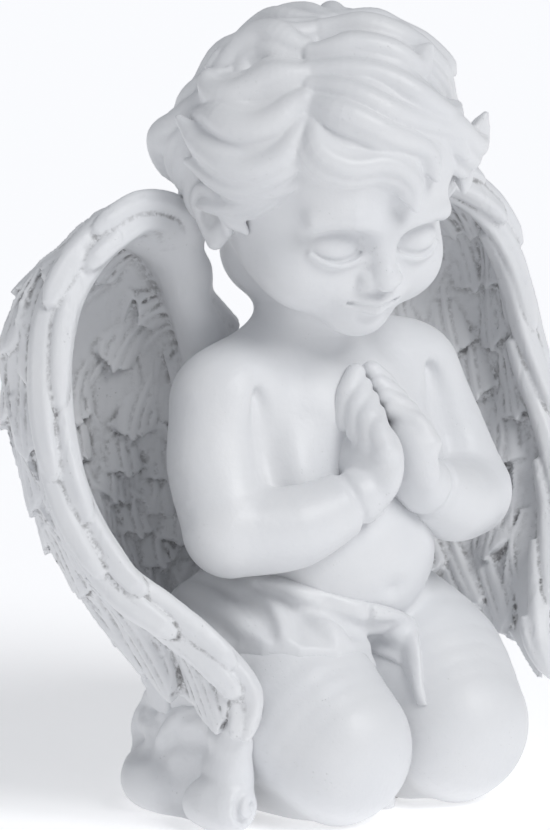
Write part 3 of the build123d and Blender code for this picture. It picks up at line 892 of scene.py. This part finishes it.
def wing_parts(side):
    sheet = WingSheet(side)
    parts = []
    # The body of the wing
    u, t = np.meshgrid(np.linspace(0, 1, 40), np.linspace(0, 1, 70))
    p, _, normal = sheet.frame(u, t)
    half = 2.0 + 0.6 * np.cos(np.pi * t)
    parts.append(closed_plate(p + normal * half[..., None], p - normal * half[..., None]))
    seed = 11 if side == -1 else 47
    # Inner face: rows of rounded coverts, then long feathers towards the tip
    rows = [
        (0.12, 0.11, [0.22, 0.38, 0.54, 0.70, 0.86], 19),
        (0.24, 0.16, [0.08, 0.24, 0.41, 0.58, 0.75, 0.92], 22),
        (0.37, 0.17, [0.15, 0.33, 0.50, 0.67, 0.85], 23),
        (0.48, 0.18, [0.07, 0.24, 0.41, 0.58, 0.76, 0.92], 23),
        (0.59, 0.19, [0.15, 0.33, 0.50, 0.67, 0.85], 23), (0.71, 0.22, [0.07, 0.24, 0.41, 0.59, 0.77], 22),
        (0.82, 0.25, [0.15, 0.33, 0.50, 0.68, 0.85], 21),
        (0.99, 0.32, [0.06, 0.22, 0.38, 0.54, 0.70, 0.86], 18),
    ]
    for t_tip, length, places, width in reversed(rows):
        for place in places:
            seed += 1
            rng = np.random.default_rng(seed)
            u_tip = place + rng.uniform(-0.03, 0.03)
            tip_t = t_tip + rng.uniform(-0.02, 0.02) + 0.03 * (place - 0.5)
            parts.append(feather(
                sheet, (u_tip - 0.05, max(tip_t - length, 0.0)), (u_tip, min(tip_t, lowest(place))),
                width * rng.uniform(0.94, 1.08), 1, rng.uniform(5.0, 6.4),
                bow=rng.uniform(-0.03, 0.03), seed=seed,
            ))
    # Outer face: larger feathers whose tips stand off the edge
    rows = [
        (0.15, 0.16, [0.2, 0.45, 0.68, 0.9], 21), (0.27, 0.18, [0.1, 0.33, 0.56, 0.76, 0.95], 22),
        (0.39, 0.19, [0.22, 0.45, 0.67, 0.9], 23), (0.52, 0.20, [0.1, 0.33, 0.56, 0.77, 0.96], 23),
        (0.65, 0.22, [0.22, 0.45, 0.67, 0.9], 23), (0.79, 0.26, [0.1, 0.33, 0.56, 0.77, 0.95], 22),
        (1.01, 0.34, [0.04, 0.2, 0.36, 0.52, 0.68, 0.84, 0.95], 19),
    ]
    for t_tip, length, places, width in reversed(rows):
        for place in places:
            seed += 1
            rng = np.random.default_rng(seed)
            t_end = min(t_tip + rng.uniform(-0.03, 0.04), lowest(place))
            parts.append(feather(
                sheet, (place, max(t_tip - length, 0.0)), (place + rng.uniform(-0.03, 0.03), t_end),
                width * rng.uniform(0.92, 1.1), -1, rng.uniform(3.4, 5.4),
                bow=rng.uniform(-0.02, 0.02), seed=seed,
            ))
    # The roll: two rows of long overlapping feathers wrapped round the edge
    roll = place_wing(WING_ROLL, side)
    outward = np.array([0.62 * side, -0.76, 0.2])
    for row, shift in ((0, -3.4), (1, 3.2)):
        starts = np.array([0.80, 0.66, 0.52, 0.38, 0.25, 0.12, 0.0]) + (0.06 if row else 0.0)
        for start in starts:
            seed += 1
            rng = np.random.default_rng(seed)
            stop = min(start + rng.uniform(0.22, 0.27), 1.0)
            s = np.linspace(start, stop, 40)
            q = (s - start) / (stop - start)
            centre = along_rows(roll, s)
            run = along_rows(roll, s + 0.01) - along_rows(roll, s - 0.01)
            run = unit(run)
            out = unit(outward - run * (run @ outward)[:, None])
            beside = np.cross(run, out) * side
            taper = np.interp(s, [0, 0.12, 0.3, 0.7, 0.9, 1], [0.85, 0.95, 1.0, 1.0, 0.85, 0.6])
            centre = centre + out * (8.6 * q - 3.3)[:, None] + beside * (shift * taper)[:, None]
            size = 4.6 * taper * np.interp(q, [0, 0.15, 0.7, 0.9, 1], [0.7, 0.95, 1.12, 0.95, 0.45])
            parts.append(pipe(centre, beside, out, size, size * 0.92, rng))
    return parts


def join_shells(parts, low, high, step, band=9):
    """Clay in the shape of closed shells that may cross each other."""
    clay = Clay(low, high, step)
    total, points, quads = 0, [], []
    for p, q in parts:
        points.append(p)
        quads.append(q + total)
        total += len(p)
    grid = openvdb.FloatGrid.createLevelSetFromPolygons(
        ((np.concatenate(points) - clay.low) / step).astype(np.float32),
        quads=np.concatenate(quads).astype(np.uint32), halfWidth=band,
    )
    field = np.zeros(clay.count, np.float32)
    grid.copyToArray(field, ijk=(0, 0, 0))
    clay.d = field * np.float32(step)
    return clay


def hollows(points, faces, rounds=9):
    """How deep each point lies in a groove, in millimetres."""
    a = points[faces[:, 2]] - points[faces[:, 0]]
    b = points[faces[:, 3]] - points[faces[:, 1]]
    n = np.cross(a, b)
    normal = np.zeros_like(points)
    for k in range(3):
        normal[:, k] = np.bincount(faces.ravel(), np.repeat(n[:, k], 4), len(points))
    normal /= np.linalg.norm(normal, axis=1)[:, None] + 1e-9
    soft = relax(points, faces, rounds, 0.5, 0.0)
    return ((soft - points) * normal).sum(1)


def wing_piece(side, name):
    parts = wing_parts(side)
    low = np.array([-134.0, -48.0, 22.0]) if side == -1 else np.array([6.0, -48.0, 22.0])
    high = low + (128, 124, 212)
    clay = join_shells(parts, low, high, WING_STEP)
    clay.add(Tube(place_wing(WING_STEM, side), STEM_RADII, 16), 11)
    clay.add(Tube(place_wing(WING_WEB, side), [8, 8.5, 8, 5.5], 16), 8)
    clay.d[:, :, :2] = FAR
    points, faces = surface_nets(clay)
    points = relax(points, faces, 1)
    piece = make_piece(name, points, faces)
    # Groove depth of each point, which the wings' finish darkens with dirt and painted shade
    groove = piece.data.attributes.new("groove", "FLOAT", "POINT")
    depth = hollows(points, faces).astype(np.float32)
    groove.data.foreach_set("value", depth)


wing_piece(-1, "right_wing")
wing_piece(1, "left_wing")


# ------------------------------------------------------------ cloth on the ground
drape = Clay((-92, -58, -3), (-10, 84, 60), DRAPE_STEP)
for path, radii, blend in (
    # The wall of cloth that lies against the thigh and rises to the wing's tip
    ([(-64, -26, 8), (-61, -8, 8), (-57, 16, 8)], [9, 12, 14], 4),
    ([(-65, -27, 22), (-63, -8, 22), (-58, 16, 22)], [7.5, 7.5, 10], 6),
    ([(-68, -33, 34), (-66, -14, 36), (-60, 10, 36)], [5.5, 5, 6.5], 7),
    # The column down from the tip, and the roll on the ground that it turns into
    ([(-70, -37, 41), (-67.5, -32, 30), (-66, -28, 18)], [5.0, 6.2, 8.4], 4),
    ([(-68.5, -30.5, 10.2), (-69.5, -25, 10.4), (-69.5, -18, 10.6)], [10.2, 10.6, 9.8], 2),
    # The lower bulge and the folds behind and above it
    ([(-66, 9, 10), (-66.5, 17, 11.5), (-58, 28, 10)], [10, 11.4, 10.5], 3),
    ([(-62, 2, 31), (-60, 15, 31), (-57, 27, 30), (-50, 35, 28)], [5.4, 6, 6.4, 5.4], 3),
    ([(-61, 0, 41), (-58, 14, 42), (-55, 25, 40), (-47, 33, 36)], [5, 5.6, 6, 5.2], 2.5),
    ([(-56, 25, 11), (-44, 41, 11), (-34, 52, 10)], [11.4, 10.8, 10], 5),
    ([(-45, 30, 27), (-35, 41, 23), (-27, 51, 14)], [7, 6.6, 6], 4),
    ([(-37, 47, 13), (-29, 57, 10), (-20, 64, 7)], [9.5, 8.5, 5], 4),
):
    drape.add(Tube(curve(path, 12), radii, 12), blend)
# A sharp fold that runs from under the wing down to the ground, and softer ones behind it
for path, radii, blend in (
    (
        [(-66, -8, 42), (-67, -1, 39), (-68, 6, 32), (-69, 11, 22), (-71, 15, 8)],
        [1.4, 2.4, 2.8, 2.8, 1.8], 2.5,
    ),
    ([(-55, 32, 38), (-55, 38, 28), (-54, 42, 14), (-54, 44, 3)], [2.0, 3.0, 3.2, 3.0], 5),
    ([(-40, 50, 28), (-40, 54, 18), (-38, 57, 4)], [2.0, 3.2, 3.2], 5),
):
    drape.add(Tube(curve(path, 16), radii, 18), blend)
for path, radii, blend in (
    # Under the fold, in the wall, beside the column
    ([(-72, -15, 36), (-73, -9, 22), (-75, -5, 6)], [3.6, 6.4, 7.6], 6),
    # Between the bulge and the fold above it
    ([(-72, 6, 25), (-73, 16, 23.5), (-69, 26, 22.5), (-60, 38, 22)], [2.6, 4.2, 4.2, 2.5], 3),
    ([(-69, 12, 34), (-68, 19, 34.5), (-64, 27, 34)], [1.2, 2.4, 1.6], 3),
    ([(-60, 40, 6), (-54, 46, 18), (-49, 46, 32)], [2.5, 3.8, 3], 6),
    ([(-46, 60, 4), (-42, 59, 14), (-37, 57, 24)], [2.5, 3.4, 2.5], 6),
    ([(-58, -40, 3), (-54, -30, 2), (-52, -22, 1)], [1.6, 2.0, 1.6], 5),
):
    drape.carve(Tube(curve(path, 12), radii, 14), blend)
# Where the cloth turns in on itself at the end of the roll
TURN_POINTS = 24
inward = []
for k in range(TURN_POINTS):
    angle, r = 1.2 + 0.27 * k, 7.6 - 0.26 * k
    inward.append((-66.5 + r * math.cos(angle), -39.8 + 0.04 * k + 0.1 * r, 10 + r * math.sin(angle)))
drape.carve(Tube(inward, np.interp(np.arange(TURN_POINTS), [0, 3, 23], [0.5, 1.4, 1.5]), 60), 1.2)
drape.stand()
cast("ground_cloth", drape, 2)


# ------------------------------------------------------------ materials
class Nodes:
    """A material's node tree, with a shader and short ways to add to it."""

    def __init__(self, name, rough, metallic=0.0):
        self.material = bpy.data.materials.new(name)
        self.material.use_nodes = True
        self.tree = self.material.node_tree
        self.shader = self.tree.nodes["Principled BSDF"]
        self.shader.inputs["Roughness"].default_value = rough
        self.shader.inputs["Metallic"].default_value = metallic
        self.where = self.node("ShaderNodeTexCoord").outputs["Object"]

    def node(self, kind, **settings):
        made = self.tree.nodes.new(kind)
        for key, value in settings.items():
            setattr(made, key, value)
        return made

    def link(self, source, target):
        self.tree.links.new(source, target)

    def noise(self, scale, detail=4.0, rough=0.55, stretch=None):
        at = self.where
        if stretch:
            mapping = self.node("ShaderNodeMapping")
            mapping.inputs["Scale"].default_value = stretch
            self.link(at, mapping.inputs["Vector"])
            at = mapping.outputs["Vector"]
        made = self.node("ShaderNodeTexNoise")
        made.inputs["Scale"].default_value = scale
        made.inputs["Detail"].default_value = detail
        made.inputs["Roughness"].default_value = rough
        self.link(at, made.inputs["Vector"])
        return made.outputs["Fac"]

    def cells(self, scale, feature="F1"):
        made = self.node("ShaderNodeTexVoronoi", feature=feature)
        made.inputs["Scale"].default_value = scale
        self.link(self.where, made.inputs["Vector"])
        return made.outputs["Distance"]

    def spread(self, value, low, high, to_low=0.0, to_high=1.0):
        """A value carried from one span to another, and held at its ends."""
        made = self.node("ShaderNodeMapRange")
        for name, number in zip(("From Min", "From Max", "To Min", "To Max"), (low, high, to_low, to_high)):
            made.inputs[name].default_value = number
        self.link(value, made.inputs["Value"])
        return made.outputs["Result"]

    def times(self, a, b):
        made = self.node("ShaderNodeMath", operation="MULTIPLY")
        for source, target in ((a, made.inputs[0]), (b, made.inputs[1])):
            if isinstance(source, (int, float)):
                target.default_value = source
            else:
                self.link(source, target)
        return made.outputs["Value"]

    def mix(self, share, a, b):
        made = self.node("ShaderNodeMix", data_type="RGBA")
        self.link(share, made.inputs["Factor"])
        for source, target in ((a, made.inputs[6]), (b, made.inputs[7])):
            if isinstance(source, tuple):
                target.default_value = (*source, 1)
            else:
                self.link(source, target)
        return made.outputs[2]

    def bumps(self, *layers):
        """Layers of (height, distance in metres), one over the other."""
        before = None
        for height, distance in layers:
            made = self.node("ShaderNodeBump")
            made.inputs["Distance"].default_value = distance
            self.link(height, made.inputs["Height"])
            if before:
                self.link(before, made.inputs["Normal"])
            before = made.outputs["Normal"]
        self.link(before, self.shader.inputs["Normal"])

    def colour(self, source):
        self.link(source, self.shader.inputs["Base Color"])

    def roughness(self, source):
        self.link(source, self.shader.inputs["Roughness"])


def resin(name, dirt_and_shade=0.0, pitting=1.0):
    """Cool white cast resin, matt with a soft sheen; dirt and painted shade darken the hollows of the
    surface.
    """
    n = Nodes(name, 0.45)
    cloud = n.spread(n.noise(22, 5), 0.3, 0.7)
    white = n.mix(cloud, (0.765, 0.775, 0.795), (0.81, 0.815, 0.825))
    fine = n.noise(260, 6, 0.6)
    pits = n.spread(n.cells(520), 0.0, 0.16, 1.0, 0.0)
    rare = n.spread(n.noise(55, 2), 0.52, 0.66)
    spots = n.times(pits, rare)
    white = n.mix(n.times(spots, 0.22 * pitting), white, (0.45, 0.45, 0.46))
    heights = [(fine, 0.00016), (n.noise(70, 3), 0.0005), (n.spread(spots, 0, 1, 1, 0), 0.00022 * pitting)]
    if dirt_and_shade:
        # Dirt and painted shade: the colour darkens with the groove depth that the mesh carries
        groove = n.node("ShaderNodeAttribute", attribute_name="groove").outputs["Fac"]
        deep = n.spread(groove, 0.01, 0.24)
        patchy = n.spread(n.noise(60, 6, 0.7), 0.38, 0.60)
        specks = n.spread(n.noise(430, 3, 0.6), 0.37, 0.54)
        # Painted shade and dirt, near black, broken by patches and specks, in the deepest grooves
        dark_dirt_and_shade = n.times(n.times(deep, patchy), specks)
        white = n.mix(n.times(dark_dirt_and_shade, dirt_and_shade), white, (0.13, 0.125, 0.125))
        # A grey wash of painted shade and dirt over the broader hollows
        grey_dirt_and_shade = n.times(n.spread(n.noise(30, 5, 0.65), 0.4, 0.75), n.spread(groove, -0.25, 0.45))
        white = n.mix(n.times(grey_dirt_and_shade, 0.45 * dirt_and_shade), white, (0.56, 0.56, 0.575))
        scratches = n.spread(n.noise(150, 2, 0.5, (1, 1, 0.12)), 0.60, 0.70)
        heights.append((n.spread(scratches, 0, 1, 1, 0), 0.00022))
    n.colour(white)
    n.roughness(n.spread(n.noise(38, 5), 0.3, 0.7, 0.36, 0.52))
    n.bumps(*heights)
    return n.material


def steel(name):
    n = Nodes(name, 0.3, 1.0)
    brushed = n.noise(60, 4, 0.6, (14, 14, 1))
    n.colour(n.mix(brushed, (0.50, 0.51, 0.52), (0.63, 0.63, 0.64)))
    n.roughness(n.spread(brushed, 0.3, 0.7, 0.24, 0.42))
    n.bumps((brushed, 0.00004))
    return n.material


def board(name):
    """Grey pressed board."""
    n = Nodes(name, 0.8)
    fibres = n.noise(420, 5, 0.7, (1, 1, 4))
    blotch = n.noise(60, 4)
    n.colour(n.mix(fibres, n.mix(blotch, (0.29, 0.28, 0.265), (0.35, 0.34, 0.32)), (0.43, 0.42, 0.395)))
    n.roughness(n.spread(fibres, 0.3, 0.7, 0.7, 0.92))
    n.bumps((fibres, 0.0002), (blotch, 0.0003))
    return n.material


def rubber(name):
    n = Nodes(name, 0.6)
    grain = n.noise(500, 4)
    dust = n.spread(n.noise(70, 5), 0.45, 0.8)
    n.colour(n.mix(dust, (0.035, 0.035, 0.037), (0.085, 0.083, 0.08)))
    n.roughness(n.spread(grain, 0.3, 0.7, 0.5, 0.75))
    n.bumps((grain, 0.00008))
    return n.material


def felt(name):
    n = Nodes(name, 0.95)
    n.shader.inputs["Sheen Weight"].default_value = 0.4
    n.shader.inputs["Sheen Roughness"].default_value = 0.6
    hairs = n.noise(900, 6, 0.75)
    clumps = n.noise(160, 4)
    n.colour(n.mix(clumps, (0.42, 0.42, 0.41), n.mix(hairs, (0.50, 0.50, 0.49), (0.60, 0.60, 0.585))))
    n.roughness(n.spread(hairs, 0.3, 0.7, 0.88, 1.0))
    n.bumps((hairs, 0.0004), (clumps, 0.0003))
    return n.material


smooth_resin = resin("cast_resin_smooth")
# The wings' resin, darkened in its grooves with dirt and painted shade
dirty_shaded_resin = resin("cast_resin_dirt_and_shade", dirt_and_shade=0.95, pitting=1.6)
cloth_resin = resin("cast_resin_cloth", pitting=1.3)

# Each modelled piece, the casting that it stands for and its finish
PIECES = {
    "body_skin": ("body_casting", smooth_resin),
    "loincloth": ("body_casting", cloth_resin),
    "head_skin": ("head_casting", smooth_resin),
    "right_arm_skin": ("right_arm_casting", smooth_resin),
    "left_arm_skin": ("left_arm_casting", smooth_resin),
    "right_wing": ("right_wing_casting", dirty_shaded_resin),
    "left_wing": ("left_wing_casting", dirty_shaded_resin),
    "ground_cloth": ("ground_drape", cloth_resin),
}
for name, (node, finish) in PIECES.items():
    piece = bpy.data.objects[name]
    piece.data.materials.append(finish)
    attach(piece, "root")
    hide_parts(node)

# Parts whose CAD shape stays
pin_steel = steel("pin_steel")
KEPT = {
    "neck_dowel": pin_steel, "right_arm_dowel": pin_steel, "left_arm_dowel": pin_steel,
    "right_wing_pins": pin_steel, "left_wing_pins": pin_steel,
    "base_plate": board("fibre_board"), "vent_plug": rubber("plug_rubber"), "felt_pad": felt("grey_felt"),
}
for name, finish in KEPT.items():
    kept = bpy.data.objects[name]
    if kept.material_slots:
        for place in kept.material_slots:
            place.material = finish
    else:
        kept.data.materials.append(finish)


# ------------------------------------------------------------ floor, light and camera
floor_mesh = bpy.data.meshes.new("floor")
floor_mesh.from_pydata([(-30, -30, 0), (30, -30, 0), (30, 30, 0), (-30, 30, 0)], [], [(0, 1, 2, 3)])
floor = bpy.data.objects.new("floor", floor_mesh)
bpy.context.scene.collection.objects.link(floor)
pale = Nodes("pale_floor", 1.0)
pale.shader.inputs["Base Color"].default_value = (0.93, 0.93, 0.94, 1)
pale.shader.inputs["Specular IOR Level"].default_value = 0.0
pale.shader.inputs["Emission Color"].default_value = (1, 1, 1, 1)
pale.shader.inputs["Emission Strength"].default_value = 0.36
floor_mesh.materials.append(pale.material)

world = bpy.data.worlds.new("studio")
world.use_nodes = True
world.node_tree.nodes["Background"].inputs["Color"].default_value = (0.91, 0.94, 1, 1)
world.node_tree.nodes["Background"].inputs["Strength"].default_value = 0.36
bpy.context.scene.world = world

# The camera looks down by EL degrees from AZ degrees round from the front
AZ, EL, DISTANCE = math.radians(-40), math.radians(11), 3.0
FRAME_HEIGHT = 0.31125      # metres of the subject that fill the picture from top to bottom
SENSOR = 36
right = Vector((math.cos(AZ), math.sin(AZ), 0))
back = Vector((-math.sin(AZ) * math.cos(EL), math.cos(AZ) * math.cos(EL), -math.sin(EL)))
up = right.cross(back)
aim = right * -0.0161 + up * 0.1406


def sun(name, towards, energy, angle, colour=(1, 1, 1)):
    data = bpy.data.lights.new(name, "SUN")
    data.energy, data.angle, data.color = energy, math.radians(angle), colour
    lamp = bpy.data.objects.new(name, data)
    lamp.rotation_euler = towards.to_track_quat("-Z", "Y").to_euler()
    bpy.context.scene.collection.objects.link(lamp)


# A broad key from the viewer's right and above, and a weak one from the other side
sun("key", back * 0.75 - right * 0.62 - up * 0.70, 1.36, 30)
sun("side", back * 0.5 + right * 0.8 - up * 0.35, 0.10, 60)

lens = bpy.data.cameras.new("camera")
lens.sensor_fit, lens.sensor_height = "VERTICAL", SENSOR
lens.lens = SENSOR * DISTANCE / FRAME_HEIGHT
camera = bpy.data.objects.new("camera", lens)
camera.location = aim - back * DISTANCE
camera.rotation_euler = back.to_track_quat("-Z", "Y").to_euler()
bpy.context.scene.collection.objects.link(camera)
bpy.context.scene.camera = camera
bpy.context.scene.view_settings.view_transform = "Standard"
